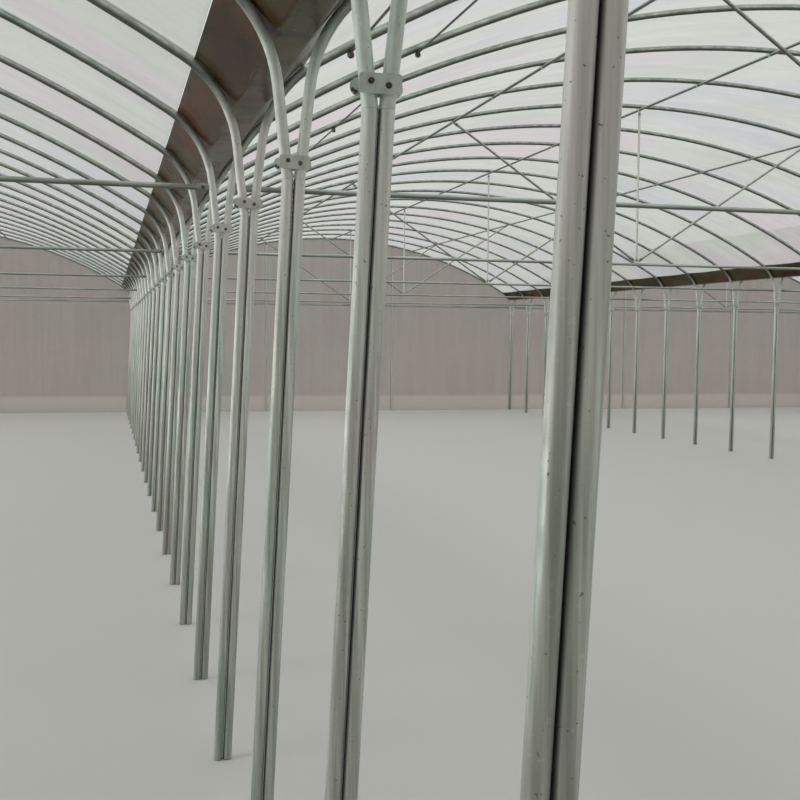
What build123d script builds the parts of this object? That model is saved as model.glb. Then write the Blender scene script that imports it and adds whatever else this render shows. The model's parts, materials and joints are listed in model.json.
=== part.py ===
from build123d import *
from math import asin, atan, atan2, cos, degrees, hypot, radians, sin, tan
import os

# Multi-span round-arch greenhouse of galvanised tube under plastic film, in millimetres.
# X runs across the spans, Y along them and Z up. The origin is on the ground, at the middle of the plan.

# Plan: spans side by side, each a row of bays with one tied arch in every bay
span_names = ("left", "middle", "right")
valley_names = ("left", "right")
span_width = 8000
bay_count = 6
bay_length = 4000
arches_per_bay = 4

# Legs stand in pairs at the valleys, each tube beside its neighbour, up to the splice with the arch
tube_diameter = 32
leg_gap = 1
splice_height = 1985

# Lean of each line of legs, in degrees, tops towards +X: outer side, valleys in turn, outer side
leg_leans = (0, 2.7, 0.5, 0)

# Arch: it leaves the leg splayed, bends tightly at the shoulder and runs over as one large arc
splay_angle = 6.3
bend_start_height = 2240
bend_radius = 400
ridge_height = 3575
shoulder_facet_tilt = 39.3

# Clamp plate across the front of a pair, where the two arches begin to part
clamp_height = 2030
clamp_plate_height = 38
clamp_plate_thickness = 3
clamp_ear = 4

# Truss in each tied arch
tie_height = 2210
tie_diameter = 25
king_post_width = 20
strut_width = 20
strut_rise_above_tie = 5

# Purlins run under the arches, one at the ridge and one on each side of it
purlin_diameter = 22
side_purlin_distance = 1700

# Valley gutter of folded sheet, lying in the V between two shoulders
gutter_half_floor = 50
gutter_thickness = 2

# Channels that lock the edges of the film
lock_setback = 3
lock_width = 25
lock_depth = 12
lock_wall = 1.5

# Film, and the facets that each straight of the arch is divided into under it
film_thickness = 2
film_facets_per_straight = 2

# Gables: square posts and rails in the plane of the end arches
gable_post_distance = 1330
gable_post_width = 32
gable_rail_width = 25

# Clearance of a piece on its seat
seat = 0.3

# Places that follow from the sizes
tube_radius = tube_diameter / 2
tube_corner = tube_radius / cos(radians(30))
leg_distance = span_width / 2 - leg_gap / 2 - tube_radius
span_centres = [(i - (len(span_names) - 1) / 2) * span_width for i in range(len(span_names))]
valley_centres = [x + span_width / 2 for x in span_centres[:-1]]
half_length = bay_count * bay_length / 2
arch_pitch = bay_length / arches_per_bay
arch_rows = [i * arch_pitch - half_length for i in range(bay_count * arches_per_bay + 1)]
tied_rows = arch_rows[arches_per_bay // 2::arches_per_bay]
frame_end = half_length + tube_corner
gable_face = frame_end + seat
cover_end = gable_face + film_thickness
foot_shifts = [-splice_height * tan(radians(lean)) for lean in leg_leans]

# Arch geometry, in a half section: distance from the span's centre line, and height
splay = radians(splay_angle)
bend_start_distance = leg_distance - (bend_start_height - splice_height) * tan(splay)
bend_centre_distance = bend_start_distance - bend_radius * cos(splay)
bend_centre_height = bend_start_height - bend_radius * sin(splay)
crown_rise = ridge_height - bend_centre_height - bend_radius
roof_slope = 2 * atan(crown_rise / bend_centre_distance)
roof_radius = bend_centre_distance / sin(roof_slope) + bend_radius
roof_centre_height = ridge_height - roof_radius


def shoulder_corner(tilt_a, tilt_b):
    """The corner where two straights meet that touch the shoulder bend at these tilts from the vertical."""
    middle = (tilt_a + tilt_b) / 2
    reach = bend_radius / cos((tilt_b - tilt_a) / 2)
    return (bend_centre_distance + reach * cos(middle), bend_centre_height + reach * sin(middle))


def roof_point(angle, radius):
    return (radius * sin(angle), roof_centre_height + radius * cos(angle))


facet_tilt = radians(shoulder_facet_tilt)
foot = (leg_distance, 0)
splice = (leg_distance, splice_height)
lower_corner = shoulder_corner(splay, facet_tilt)
upper_corner = shoulder_corner(facet_tilt, radians(90) - roof_slope)
eave_angle = atan2(upper_corner[0], upper_corner[1] - roof_centre_height)
purlin_angle = asin(side_purlin_distance / roof_radius)
haunch_angle = (eave_angle + purlin_angle) / 2
haunch = roof_point(haunch_angle, roof_radius)
purlin_point = roof_point(purlin_angle, roof_radius)
ridge = roof_point(0, roof_radius)
arch_line = [splice, lower_corner, upper_corner, haunch, purlin_point, ridge]


def outside(line, distance):
    """The half section moved outwards by a distance, with mitred corners and the ridge on the centre line."""
    joined = [foot] + line + [(-line[-2][0], line[-2][1])]
    moved = [(foot[0] + distance, foot[1])]
    for before, here, after in zip(joined, joined[1:], joined[2:]):
        into = atan2(here[1] - before[1], here[0] - before[0])
        out_of = atan2(after[1] - here[1], after[0] - here[0])
        bisector = (into + out_of) / 2 - radians(90)
        reach = distance / cos((out_of - into) / 2)
        moved.append((here[0] + reach * cos(bisector), here[1] + reach * sin(bisector)))
    return moved


def mirrored(line):
    """A half section completed with its other half, from the far side up to the ridge and down again."""
    return line + [(-x, z) for x, z in reversed(line) if abs(x) > 1]


def flipped(line):
    return [(-x, z) for x, z in line]


def shifted(line, distance):
    return [(x + distance, z) for x, z in line]


def thickened(line, thickness):
    """An open line given a thickness on its left side, with mitred folds and square ends."""
    directions = [atan2(b[1] - a[1], b[0] - a[0]) for a, b in zip(line, line[1:])]
    other = []
    for i, (x, z) in enumerate(line):
        into = directions[max(i - 1, 0)]
        out_of = directions[min(i, len(directions) - 1)]
        normal = (into + out_of) / 2 + radians(90)
        reach = thickness / cos((out_of - into) / 2)
        other.append((x + reach * cos(normal), z + reach * sin(normal)))
    return line + other[::-1]


def on_eave(along, above):
    """A point above the arch's lowest roof straight, measured from the shoulder's upper corner."""
    run_x, run_z = haunch[0] - upper_corner[0], haunch[1] - upper_corner[1]
    length = hypot(run_x, run_z)
    lift = tube_radius + above
    x = upper_corner[0] + (along * run_x + lift * run_z) / length
    z = upper_corner[1] + (along * run_z - lift * run_x) / length
    return (x, z)


def prism(outline, y_start, y_end):
    """A closed outline in X and Z, run along Y."""
    face = make_face(Polyline(*[(x, y_start, z) for x, z in outline], close=True))
    return extrude(face, amount=y_end - y_start, dir=(0, 1, 0))


def crossways(x_start, x_end, y, z, across):
    """A six-sided tube lying along X, with flats facing up and down."""
    section = Plane(origin=(x_start, y, z), x_dir=(0, 1, 0), z_dir=(1, 0, 0)) * RegularPolygon(
        across / 2, 6, major_radius=False
    )
    return extrude(section, amount=x_end - x_start, dir=(1, 0, 0))


def lengthways(x, z, across, turn):
    """A six-sided tube lying along Y over the whole building, its flats turned with the roof."""
    plane = Plane(origin=(x, -frame_end, z), x_dir=(1, 0, 0), z_dir=(0, 1, 0))
    section = plane * Rot(0, 0, turn) * RegularPolygon(across / 2, 6, major_radius=False)
    return extrude(section, amount=2 * frame_end, dir=(0, 1, 0))


def copies(solid, rows):
    """The same piece at every row along the building."""
    return [Pos(0, y, 0) * solid for y in rows]


def save(node, solids):
    os.makedirs("parts", exist_ok=True)
    export_step(Compound(children=list(solids)), f"parts/{node}.step")


def leg(foot_shift):
    """A leg with its top at the splice, its foot out of line by the lean, and both ends cut level."""
    axis = Vector(foot_shift, 0, -splice_height).normalized()
    section = Plane(origin=(0, 0, splice_height), x_dir=(0, 1, 0), z_dir=axis) * RegularPolygon(
        tube_radius, 6, major_radius=False
    )
    bar = extrude(section, amount=tube_diameter, dir=-axis) + extrude(
        section, amount=splice_height + tube_diameter, dir=axis
    )
    bar = split(bar, bisect_by=Plane.XY.offset(splice_height), keep=Keep.BOTTOM)
    return split(bar, bisect_by=Plane.XY, keep=Keep.TOP)


def leg_rows():
    """One row of legs on each side of every span."""
    for i, (name, centre) in enumerate(zip(span_names, span_centres)):
        for side, sign, shift in (("left", -1, foot_shifts[i]), ("right", 1, foot_shifts[i + 1])):
            row = Pos(centre + sign * leg_distance, 0, 0) * leg(shift)
            save(f"{name}_span_{side}_legs", copies(row, arch_rows))


def arch():
    """One arch tube between its two splices, with the ends cut level on the leg tops."""
    lead = tube_diameter
    stub = (splice[0] + lead * tan(splay), splice[1] - lead)
    line = mirrored([stub] + arch_line[1:])
    start = Vector(line[0][0], 0, line[0][1])
    direction = Vector(line[1][0], 0, line[1][1]) - start
    section = Plane(origin=start, x_dir=(0, 1, 0), z_dir=direction) * RegularPolygon(
        tube_radius, 6, major_radius=False
    )
    path = Polyline(*[(x, 0, z) for x, z in line])
    tube = sweep(section, path=path, transition=Transition.RIGHT)
    return split(tube, bisect_by=Plane.XY.offset(splice_height), keep=Keep.TOP)


def arches():
    tube = arch()
    for name, centre in zip(span_names, span_centres):
        save(f"{name}_span_arches", copies(Pos(centre, 0, 0) * tube, arch_rows))


def clamps():
    """A plate across the front of every pair of tubes, or behind the pair at the front gable's film."""
    spread = 2 * max(clamp_height - splice_height, 0) * tan(splay)
    width = leg_gap + spread + 2 * tube_diameter + 2 * clamp_ear
    plate = Box(width, clamp_plate_thickness, clamp_plate_height)
    offset = tube_corner + seat + clamp_plate_thickness / 2
    share = max(splice_height - clamp_height, 0) / splice_height
    for name, x, shift in zip(valley_names, valley_centres, foot_shifts[1:]):
        place = x + share * shift
        rows = copies(Pos(place, -offset, clamp_height) * plate, arch_rows[1:])
        rows += copies(Pos(place, offset, clamp_height) * plate, arch_rows[:1])
        save(f"{name}_valley_clamps", rows)


def gutters():
    """Folded sheet: a flat floor, two walls lying on the shoulders and two lips under the channels."""
    under = outside(arch_line, tube_radius + seat)
    low, corner = under[2], under[3]
    valley = span_width / 2
    share = (valley - gutter_half_floor - low[0]) / (corner[0] - low[0])
    floor_height = low[1] + share * (corner[1] - low[1])
    lower = [(gutter_half_floor, floor_height)]
    lip = on_eave(lock_setback + lock_width, seat)
    lower += [(valley - distance, z) for distance, z in (corner, lip)]
    outline = thickened(flipped(lower[::-1]) + lower, gutter_thickness)
    for name, x in zip(valley_names, valley_centres):
        save(f"{name}_valley_gutter", [prism(shifted(outline, x), -cover_end, cover_end)])


def film_lock(base):
    """The half section of the channel that holds the film's edge, a base height above the arches."""
    near = lock_setback
    far = lock_setback + lock_width
    top = base + lock_depth
    return [
        on_eave(near, base), on_eave(far, base), on_eave(far, top), on_eave(far - lock_wall, top),
        on_eave(far - lock_wall, base + lock_wall), on_eave(near + lock_wall, base + lock_wall),
        on_eave(near + lock_wall, top), on_eave(near, top),
    ]


def film_locks():
    """A channel along both edges of every roof film, on the gutter's lip or on the side film."""
    on_gutter = film_lock(seat + gutter_thickness + seat)
    on_side = film_lock(seat + film_thickness + seat)
    for name, centre in zip(span_names, span_centres):
        left = on_side if centre == span_centres[0] else on_gutter
        right = on_side if centre == span_centres[-1] else on_gutter
        outlines = [shifted(flipped(left), centre), shifted(right, centre)]
        save(f"{name}_span_film_channels", [prism(o, -cover_end, cover_end) for o in outlines])


def film_angles():
    """Angles of the roof film's folds, from its edge at the channel to the ridge."""
    x, z = on_eave(lock_setback + lock_width + seat, lock_depth)
    edge = atan2(x, z - roof_centre_height)
    straights = [edge, haunch_angle, purlin_angle, 0]
    angles = [edge]
    for upper, lower in zip(straights, straights[1:]):
        step = (lower - upper) / film_facets_per_straight
        angles += [upper + step * (i + 1) for i in range(film_facets_per_straight)]
    return angles


def roof_films():
    inner_radius = roof_radius + tube_radius + seat
    inner = mirrored([roof_point(a, inner_radius) for a in film_angles()])
    outer = mirrored([roof_point(a, inner_radius + film_thickness) for a in film_angles()])
    outline = inner + outer[::-1]
    for name, centre in zip(span_names, span_centres):
        save(f"{name}_span_roof_film", [prism(shifted(outline, centre), -cover_end, cover_end)])


def side_outline(foot_shift):
    """A side film from the ground over the shoulder and under the channel, its foot following the legs."""
    line = outside(arch_line, tube_radius + seat)[:4]
    line[0] = (line[0][0] + foot_shift, 0)
    line.append(on_eave(lock_setback + lock_width, seat))
    return thickened(line[::-1], film_thickness)


def side_films():
    """The film of each long side."""
    outer = span_centres[-1]
    left = flipped(side_outline(-foot_shifts[0]))
    right = side_outline(foot_shifts[-1])
    save("left_side_film", [prism(shifted(left, -outer), -cover_end, cover_end)])
    save("right_side_film", [prism(shifted(right, outer), -cover_end, cover_end)])


def tie_reach(depth):
    """Half the length of a level bar of this depth that fits between the splayed feet of an arch."""
    inner_face = leg_distance - (tie_height - splice_height) * tan(splay) - tube_radius / cos(splay)
    return inner_face - depth / 2 * tan(splay) - seat


def ties():
    """The tube across each tied arch, between the splayed feet of the arch."""
    reach = tie_reach(tie_diameter)
    tie = crossways(-reach, reach, 0, tie_height, tie_diameter)
    for name, centre in zip(span_names, span_centres):
        save(f"{name}_span_ties", copies(Pos(centre, 0, 0) * tie, tied_rows))


def purlin_centre(angle):
    """The flat top of a purlin lies under a corner of the arch, touching it with the edges of the flat."""
    bend = purlin_angle / 2
    edge_drop = purlin_diameter / 2 * tan(radians(30)) * tan(bend)
    return roof_point(angle, roof_radius - tube_radius / cos(bend) - edge_drop - seat - purlin_diameter / 2)


def purlins():
    for name, centre in zip(span_names, span_centres):
        tubes = []
        for angle in (-purlin_angle, 0, purlin_angle):
            x, z = purlin_centre(angle)
            tubes.append(lengthways(centre + x, z, purlin_diameter, degrees(angle)))
        save(f"{name}_span_purlins", tubes)


def king_posts():
    """The post from the middle of each tie up to the ridge purlin."""
    bottom = tie_height + tie_diameter / 2 + seat
    top = purlin_centre(0)[1] - purlin_diameter / 2 / cos(radians(30)) - seat
    post = Pos(0, 0, (bottom + top) / 2) * Box(king_post_width, king_post_width, top - bottom)
    for name, centre in zip(span_names, span_centres):
        save(f"{name}_span_king_posts", copies(Pos(centre, 0, 0) * post, tied_rows))


def struts():
    """Two braces from the foot of each king post up to the side purlins."""
    root = Vector(0, 0, tie_height + tie_diameter / 2 + strut_rise_above_tie)
    x, z = purlin_centre(purlin_angle)
    head = Vector(x, 0, z)
    axis = (head - root).normalized()
    start = (king_post_width / 2 + seat + strut_width / 2 * axis.Z) / axis.X
    end = (head - root).length - purlin_diameter / 2 / cos(radians(30)) - seat
    plane = Plane(origin=root + axis * start, x_dir=(0, 1, 0), z_dir=axis)
    section = plane * Rectangle(strut_width, strut_width)
    right = extrude(section, amount=end - start, dir=axis)
    left = mirror(right, about=Plane.YZ)
    for name, centre in zip(span_names, span_centres):
        pair = [Pos(centre, 0, 0) * side for side in (left, right)]
        save(f"{name}_span_struts", [p for one in pair for p in copies(one, tied_rows)])


def gable_outline(left_shift, right_shift):
    """The outline of a span's end, following its arch and its leaning legs down to the ground."""
    line = outside(arch_line, tube_radius)
    right, left = line[0], (-line[0][0], 0)
    return [(right[0] + right_shift, 0)] + mirrored(line)[1:-1] + [(left[0] + left_shift, 0)]


def gable_films():
    """The film over each end of every span, with one open doorway in the front of the middle span."""
    door_half = gable_post_distance - gable_post_width / 2
    door_top = tie_height - gable_rail_width / 2
    doorway = Pos(0, -gable_face, door_top / 2) * Box(2 * door_half, 4 * film_thickness, door_top)
    for i, (name, centre) in enumerate(zip(span_names, span_centres)):
        outline = gable_outline(foot_shifts[i], foot_shifts[i + 1])
        front = prism(shifted(outline, centre), -cover_end, -gable_face)
        if name == "middle":
            front -= Pos(centre, 0, 0) * doorway
        save(f"{name}_front_gable_film", [front])
        save(f"{name}_rear_gable_film", [prism(shifted(outline, centre), gable_face, cover_end)])


def gable_frames():
    """Two posts up to the end arch of every span, and a rail at the height of the ties between them."""
    corner = gable_post_distance + gable_post_width / 2
    rise = (ridge[1] - purlin_point[1]) / purlin_point[0]
    top = ridge[1] - rise * corner - tube_radius / cos(atan(rise)) - seat
    post = Pos(0, 0, top / 2) * Box(gable_post_width, gable_post_width, top)
    inner = gable_post_distance - gable_post_width / 2 - seat
    outer = gable_post_distance + gable_post_width / 2 + seat
    reach = tie_reach(gable_rail_width)
    rails = []
    for start, end in ((-reach, -outer), (-inner, inner), (outer, reach)):
        rail = Box(end - start, gable_rail_width, gable_rail_width)
        rails.append(Pos((start + end) / 2, 0, tie_height) * rail)
    for end_name, sign in (("front", -1), ("rear", 1)):
        y = sign * frame_end
        post_y = y - sign * gable_post_width / 2
        rail_y = y - sign * gable_rail_width / 2
        places = [centre + side * gable_post_distance for centre in span_centres for side in (-1, 1)]
        save(f"{end_name}_gable_posts", [Pos(x, post_y, 0) * post for x in places])
        save(f"{end_name}_gable_rails", [Pos(c, rail_y, 0) * rail for c in span_centres for rail in rails])


leg_rows()
arches()
clamps()
gutters()
film_locks()
roof_films()
side_films()
ties()
purlins()
king_posts()
struts()
gable_films()
gable_frames()
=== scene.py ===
# %% [markdown]
# # A tunnel greenhouse of three spans, seen from inside
#
# The real thing is a row of galvanised steel arches, one each metre, that stand on pairs of legs. A
# folded gutter lies in every valley between two spans, and a pale film is stretched over the whole.
# The solids of this part hold the true sizes, so each cell below only makes one kind of piece look
# real: round where the solid has flats, bolted where the solid is plain, and given its own finish.
#
# We start by loading the imported solids as a fixed frame.

# %% Load the frame
import json
import math
import bmesh
import bpy
from mathutils import Matrix, Vector

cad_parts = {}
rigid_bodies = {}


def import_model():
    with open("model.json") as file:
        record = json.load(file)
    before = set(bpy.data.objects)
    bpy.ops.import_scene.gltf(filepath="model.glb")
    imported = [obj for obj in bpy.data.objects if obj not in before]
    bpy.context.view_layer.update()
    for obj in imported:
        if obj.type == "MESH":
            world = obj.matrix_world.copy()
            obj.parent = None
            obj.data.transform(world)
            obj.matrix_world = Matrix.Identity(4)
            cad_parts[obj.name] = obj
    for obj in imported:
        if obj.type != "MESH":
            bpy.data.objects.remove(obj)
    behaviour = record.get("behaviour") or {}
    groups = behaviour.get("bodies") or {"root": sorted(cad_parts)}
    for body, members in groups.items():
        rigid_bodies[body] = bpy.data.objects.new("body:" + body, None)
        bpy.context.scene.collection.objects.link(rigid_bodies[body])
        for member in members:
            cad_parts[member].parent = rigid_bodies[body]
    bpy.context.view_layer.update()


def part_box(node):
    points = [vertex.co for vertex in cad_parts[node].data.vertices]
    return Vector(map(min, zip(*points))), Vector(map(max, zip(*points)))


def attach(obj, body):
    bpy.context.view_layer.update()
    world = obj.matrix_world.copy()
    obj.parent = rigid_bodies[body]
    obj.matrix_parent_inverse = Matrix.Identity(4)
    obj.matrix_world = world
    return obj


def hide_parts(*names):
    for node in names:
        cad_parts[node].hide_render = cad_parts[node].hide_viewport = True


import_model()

# %% [markdown]
# ## Sizes
#
# A greenhouse like this is ordered by a few numbers: the width of a span, the pitch of its arches and
# the tube. We read the places of legs and gutters from the frame, and write down only the sizes that
# a box can't tell us, such as the two radii of the bent arch. The arch is three curves that flow into
# each other, so its two centres follow from the ridge, the splice and the tight shoulder radius.

# %% Sizes of the frame
SPANS = ("left", "middle", "right")
VALLEYS = ("left", "right")
SIDES = (("left", -1), ("right", 1))
ARCH_PITCH = 1.0
TUBE_RADIUS = 0.016
LEG_GAP = 0.001
SEAT = 0.0003
FILM_SOLID = 0.002

leg_boxes = {(s, side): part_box(f"{s}_span_{side}_legs") for s in SPANS for side, sign in SIDES}
legs_low, legs_high = leg_boxes["middle", "left"]
splice_height = legs_high.z
ridge_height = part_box("middle_span_roof_film")[1].z - FILM_SOLID - SEAT - TUBE_RADIUS
valley_x = {v: sum(c.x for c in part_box(f"{v}_valley_gutter")) / 2 for v in VALLEYS}
span_width = valley_x["right"] - valley_x["left"]
span_x = {
    "left": valley_x["left"] - span_width / 2,
    "middle": 0.0,
    "right": valley_x["right"] + span_width / 2,
}
leg_distance = span_width / 2 - LEG_GAP / 2 - TUBE_RADIUS
arch_count = round(legs_high.y - legs_low.y) + 1
first_row = -(arch_count - 1) * ARCH_PITCH / 2
print(arch_count, "arches a span, the first at y", first_row, "with valleys at x", valley_x)
print("splice at", round(splice_height, 4), "and the ridge's tube at", round(ridge_height, 4))

# %% Curves of the arch
SPLAY = math.radians(6.3)
BEND_RADIUS = 0.4
BEND_START = 2.24

bend_x = leg_distance - (BEND_START - splice_height) * math.tan(SPLAY) - BEND_RADIUS * math.cos(SPLAY)
bend_z = BEND_START - BEND_RADIUS * math.sin(SPLAY)
roof_slope = 2 * math.atan((ridge_height - bend_z - BEND_RADIUS) / bend_x)
roof_radius = bend_x / math.sin(roof_slope) + BEND_RADIUS
roof_z = ridge_height - roof_radius
shoulder_turn = math.radians(90) - roof_slope - SPLAY
print("roof radius", round(roof_radius, 3), "and slope at the shoulder", round(math.degrees(roof_slope), 2))

# %% [markdown]
# ## The workbench
#
# These small helpers do what a hand does in the window: select one piece, add one thing, and put its
# place into its mesh. A piece is always left with its object at the origin, so that a pattern that
# reads Object coordinates stays where it belongs. More helpers come where they are first needed.

# %% Pick, add and settle
def pick(piece):
    """Select this piece alone."""
    bpy.ops.object.select_all(action="DESELECT")
    piece.select_set(True)
    bpy.context.view_layer.objects.active = piece


def added(operator, **values):
    """Add one thing with nothing else selected."""
    bpy.ops.object.select_all(action="DESELECT")
    operator(**values)
    return bpy.context.object


def settle():
    """Put the active piece's place into its mesh."""
    pick(bpy.context.object)
    bpy.ops.object.transform_apply(location=True, rotation=True, scale=True)
    return bpy.context.object


def primitive(operator, **values):
    """Add a primitive, and put its place into its mesh."""
    added(operator, **values)
    return settle()


# %% [markdown]
# ## Camera, floor and light
#
# The camera stands in the left span, beside the first row of legs, and looks along it. All long lines
# of the building meet in one point left of the middle, and that tells how far it is turned. The light
# comes through the film from everywhere, so a plain pale world and one broad, soft sun outside are
# nearly enough: the film itself becomes the lamp for the inside. A long, low panel of light by the
# left wall stands for the open side. It draws a soft highlight on the left of each leg, which makes
# it read as round. It shall leave the floor and the films alone, and that is set at the end, when the
# films are there.

# %% Camera
EYE = Vector((-4.500, -11.103, 1.556))
EYE_RIGHT = math.radians(14.6)
EYE_DOWN = math.radians(3.2)
EYE_ROLL = math.radians(0.55)
FOCUS_IN_PIXELS = 1128
PICTURE_WIDTH = 800
SENSOR_WIDTH = 36

camera = added(bpy.ops.object.camera_add, location=EYE)
camera.name = "camera"
camera.data.sensor_width = SENSOR_WIDTH
camera.data.lens = SENSOR_WIDTH * FOCUS_IN_PIXELS / PICTURE_WIDTH
camera.data.clip_start = 0.05
camera.data.clip_end = 400
aim = Matrix.Rotation(-EYE_RIGHT, 4, "Z") @ Matrix.Rotation(math.radians(90) - EYE_DOWN, 4, "X")
camera.matrix_world = Matrix.Translation(EYE) @ aim @ Matrix.Rotation(EYE_ROLL, 4, "Z")
bpy.context.scene.camera = camera
print("lens", round(camera.data.lens, 1), "mm")

# %% Pale floor
FLOOR_SIZE = 400
FLOOR_DROP = 0.002
FLOOR_COLOUR = (0.70, 0.69, 0.67, 1)

floor = primitive(bpy.ops.mesh.primitive_plane_add, size=FLOOR_SIZE, location=(0, 0, -FLOOR_DROP))
floor.name = "floor"
floor_finish = bpy.data.materials.new("pale_floor")
floor_finish.use_nodes = True
floor_shader = floor_finish.node_tree.nodes["Principled BSDF"]
floor_shader.inputs["Base Color"].default_value = FLOOR_COLOUR
floor_shader.inputs["Roughness"].default_value = 0.9
floor.data.materials.append(floor_finish)
print("floor", FLOOR_SIZE, "m wide")

# %% Light
SKY_COLOUR = (0.86, 0.88, 0.88, 1)
SKY_STRENGTH = 0.88
SUN_STRENGTH = 1.7
SUN_WIDTH = math.radians(20)
SUN_TURN = (math.radians(6), math.radians(-34), 0)
PANEL_POWER = 320
PANEL_PLACE = (-11.6, 0, 1.1)
PANEL_TURN = (0, math.radians(-118), 0)
PANEL_HEIGHT = 2.0
PANEL_LENGTH = 23.0

world = bpy.data.worlds.new("pale_sky")
bpy.context.scene.world = world
world.use_nodes = True
sky = world.node_tree.nodes["Background"]
sky.inputs["Color"].default_value = SKY_COLOUR
sky.inputs["Strength"].default_value = SKY_STRENGTH

sun = added(bpy.ops.object.light_add, type="SUN", location=(0, 0, 12), rotation=SUN_TURN)
sun.name = "soft_sun"
sun.data.energy = SUN_STRENGTH
sun.data.angle = SUN_WIDTH

panel = added(bpy.ops.object.light_add, type="AREA", location=PANEL_PLACE, rotation=PANEL_TURN)
panel.name = "side_panel"
panel.data.shape = "RECTANGLE"
panel.data.size = PANEL_HEIGHT
panel.data.size_y = PANEL_LENGTH
panel.data.energy = PANEL_POWER
panel.visible_camera = False
bpy.context.scene.view_settings.view_transform = "Standard"
print("light: sky", SKY_STRENGTH, "sun", SUN_STRENGTH, "panel", PANEL_POWER, "W")

# %% [markdown]
# ## Finishes
#
# A finish could be painted on a picture, but then it blurs from near by and shows its seams. We build
# it from patterns instead, with the same bricks each time: a noise picks a place between a few
# colours, others lay spots and stains over it or set the roughness, and one lifts the surface a hair.
# All read Object coordinates, so a pattern has a real size. The first cell makes and links nodes, and
# the next two hold the bricks.

# %% Nodes of a finish
def new_finish(name):
    """An empty material with its node tree, output and coordinates."""
    material = bpy.data.materials.new(name)
    material.use_nodes = True
    tree = material.node_tree
    tree.nodes.clear()
    output = tree.nodes.new("ShaderNodeOutputMaterial")
    places = tree.nodes.new("ShaderNodeTexCoord").outputs["Object"]
    return material, tree, output, places


def node(tree, kind, inputs, **settings):
    """A new node. Each input gets a number or a colour, or a link from another node's output."""
    made = tree.nodes.new("ShaderNode" + kind)
    for name, value in settings.items():
        setattr(made, name, value)
    for name, value in inputs.items():
        if isinstance(value, bpy.types.NodeSocket):
            tree.links.new(value, made.inputs[name])
        else:
            made.inputs[name].default_value = value
    return made


def part_of(tree, vector, axis):
    """One of the three numbers of a vector."""
    return node(tree, "SeparateXYZ", {0: vector}).outputs[axis]


def reckoned(tree, operation, first, second):
    """A sum, product or the like of two numbers."""
    return node(tree, "Math", {0: first, 1: second}, operation=operation).outputs[0]


# %% Bricks: patterns
def scaled(tree, places, scale, turn=(0, 0, 0)):
    """Coordinates stretched by a scale, so that a round pattern becomes a streak."""
    return node(tree, "Mapping", {"Vector": places, "Scale": scale, "Rotation": turn}).outputs["Vector"]


def noise(tree, places, scale, detail, rough):
    """Cloudy numbers about 0.5."""
    inputs = {"Vector": places, "Scale": scale, "Detail": detail, "Roughness": rough}
    return node(tree, "TexNoise", inputs).outputs["Fac"]


def ranged(tree, factor, low, high, from_low=0.3, from_high=0.7):
    """A pattern brought between two values, as for roughness or a mask."""
    inputs = {"Value": factor, "From Min": from_low, "From Max": from_high, "To Min": low, "To Max": high}
    return node(tree, "MapRange", inputs).outputs["Result"]


# %% Bricks: colours and surface
def colours(tree, factor, *stops):
    """A ramp of colours. Each stop is a place from 0 to 1 and a colour."""
    ramp = node(tree, "ValToRGB", {"Fac": factor})
    elements = ramp.color_ramp.elements
    while len(elements) < len(stops):
        elements.new(0.5)
    for element, (place, colour) in zip(elements, stops):
        element.position = place
        element.color = (*colour, 1)
    return ramp.outputs["Color"]


def mixed(tree, factor, first, second, kind="MIX"):
    """One colour laid over another. The factor is a number or an output."""
    mix = node(tree, "Mix", {"Factor": factor}, data_type="RGBA", blend_type=kind)
    for source, name in ((first, "A"), (second, "B")):
        socket = next(s for s in mix.inputs if s.name == name and s.type == "RGBA")
        if isinstance(source, tuple):
            socket.default_value = (*source, 1)
        else:
            tree.links.new(source, socket)
    return next(s for s in mix.outputs if s.type == "RGBA")


def marked(tree, base, places, colour, pattern, most, edges, kind="MIX"):
    """Marks of one colour on a base. Pattern is the scale, detail and roughness of their noise, most
    is how much a mark covers, and edges are the two values between which it fades in."""
    mask = ranged(tree, noise(tree, places, *pattern), 0.0, most, *edges)
    return mixed(tree, mask, base, colour, kind)


def bumped(tree, height, distance, strength):
    """A surface lifted by a pattern, at most by a distance."""
    inputs = {"Height": height, "Distance": distance, "Strength": strength}
    return node(tree, "Bump", inputs).outputs["Normal"]


def surfaced(tree, output, colour, roughness, normal, metallic):
    """The shader of a gutter, a channel or a tube."""
    inputs = {"Base Color": colour, "Roughness": roughness, "Normal": normal, "Metallic": metallic}
    shader = node(tree, "BsdfPrincipled", inputs)
    tree.links.new(shader.outputs["BSDF"], output.inputs["Surface"])
    return shader


# %% [markdown]
# ### Galvanised steel
#
# Galvanised tube is dull grey, here a little pink and there a little green. Zinc runs off the tube as
# it leaves the bath, so it has faint streaks along its length, pale spots and a few dark specks. What
# faces down is darkened with painted shade. The legs get darker towards the ground, painted shade
# where two of them meet, and a paler zinc from eye level up. Each kind of tube could have a recipe of
# its own, but they came out of one bath, so all of it is one function, which each kind calls with the
# run of its streaks.

# %% Galvanised steel
ZINC_SHINE = 0.4
PALER_ZINC = (0.91, 0.92, 0.89)
PALE_SPOT = (0.78, 0.80, 0.77)
DARK_SPECK = (0.16, 0.16, 0.14)
PINK_TO_GREEN = ((0.38, (0.99, 0.91, 0.95)), (0.50, (0.97, 0.99, 0.95)), (0.62, (0.87, 0.99, 0.95)))
DULL_PATCH = (0.78, 0.86, 0.80)
# Painted shade on the undersides of the tubes.
UNDERSIDE_SHADE = (0.055, 0.060, 0.050)
DARKER_FOOT = (0.19, 0.18, 0.14)
# Painted shade on the sides where the two legs of a pair face each other.
GAP_SHADE = (0.035, 0.040, 0.032)


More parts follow.
